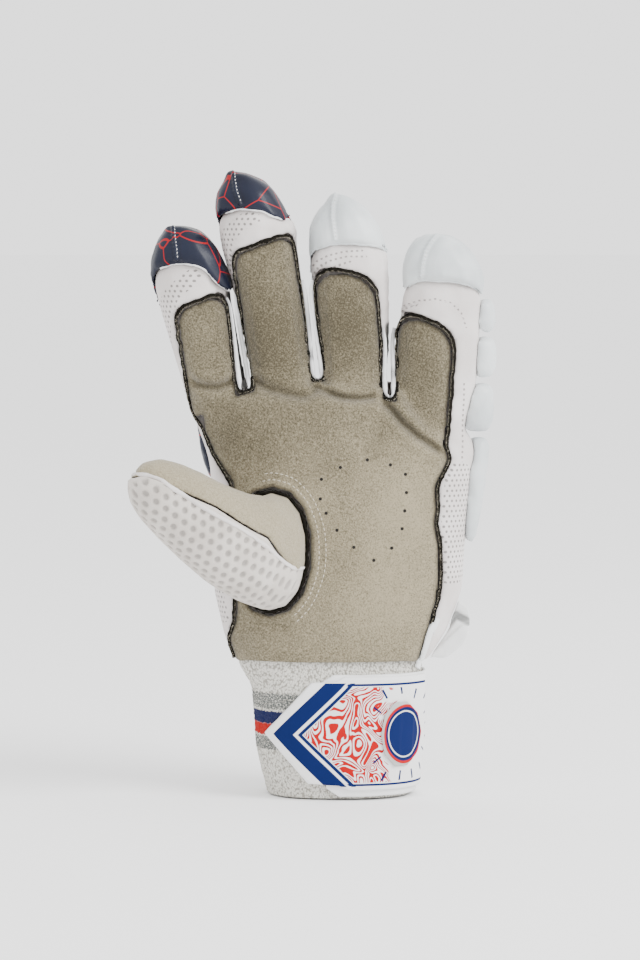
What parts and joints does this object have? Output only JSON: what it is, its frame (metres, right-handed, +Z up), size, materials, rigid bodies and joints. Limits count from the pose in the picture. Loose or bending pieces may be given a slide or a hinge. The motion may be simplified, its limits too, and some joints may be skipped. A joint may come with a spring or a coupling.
{
  "type": "cricket batting glove",
  "caption": "Padded left-hand batting glove with a suede palm, rolls of foam along its back, a ventilated thumb and a knitted cuff closed by a strap.",
  "frame": {"origin": "on the ground under the middle of the glove's box, at the level of the cuff's lower rim", "axes": "+Z up along the hand to the fingertips, -Y out of the palm, -X towards the thumb"},
  "size_m": [0.1628, 0.0918, 0.2753],
  "materials": {
    "suede": "napped beige grey suede",
    "binding": "black binding with a frayed edge",
    "white_leather": "soft white leather over foam",
    "mesh_cloth": "white mesh cloth with round holes",
    "navy_leather": "smooth navy leather with thin red lines",
    "knit": "looped white knit with grey, navy and red bands",
    "strap_cloth": "white strap of coated cloth",
    "badge_vinyl": "moulded white label with a navy chevron and a red pattern",
    "roundel_rubber": "plain raised navy roundel with a red rim"
  },
  "bodies": {
    "root": {"palm": "suede", "binding": "binding", "back_panel": "white_leather", "index_stall": "white_leather", "middle_stall": "white_leather", "ring_stall": "white_leather", "little_stall": "white_leather", "thumb_mesh": "mesh_cloth", "thumb_leather": "suede", "index_cap": "navy_leather", "index_roll_base": "white_leather", "index_roll_mid": "white_leather", "index_hand_roll_lower": "white_leather", "index_hand_roll_upper": "white_leather", "middle_cap": "navy_leather", "middle_roll_base": "white_leather", "middle_roll_mid": "white_leather", "middle_hand_roll_lower": "white_leather", "middle_hand_roll_upper": "white_leather", "ring_cap": "white_leather", "ring_roll_base": "white_leather", "ring_roll_mid": "white_leather", "ring_hand_roll_lower": "white_leather", "ring_hand_roll_upper": "white_leather", "little_cap": "white_leather", "little_roll_base": "white_leather", "little_roll_mid": "white_leather", "little_hand_roll_lower": "white_leather", "little_hand_roll_upper": "white_leather", "side_bar_tip": "white_leather", "side_bar_mid": "white_leather", "side_bar_base": "white_leather", "side_bar_hand": "white_leather", "thumb_pad_base": "white_leather", "thumb_pad_tip": "white_leather", "cuff": "knit", "strap": "strap_cloth", "strap_badge": "badge_vinyl", "badge_roundel": "roundel_rubber", "wrist_flap": "white_leather"}
  },
  "joints": []
}
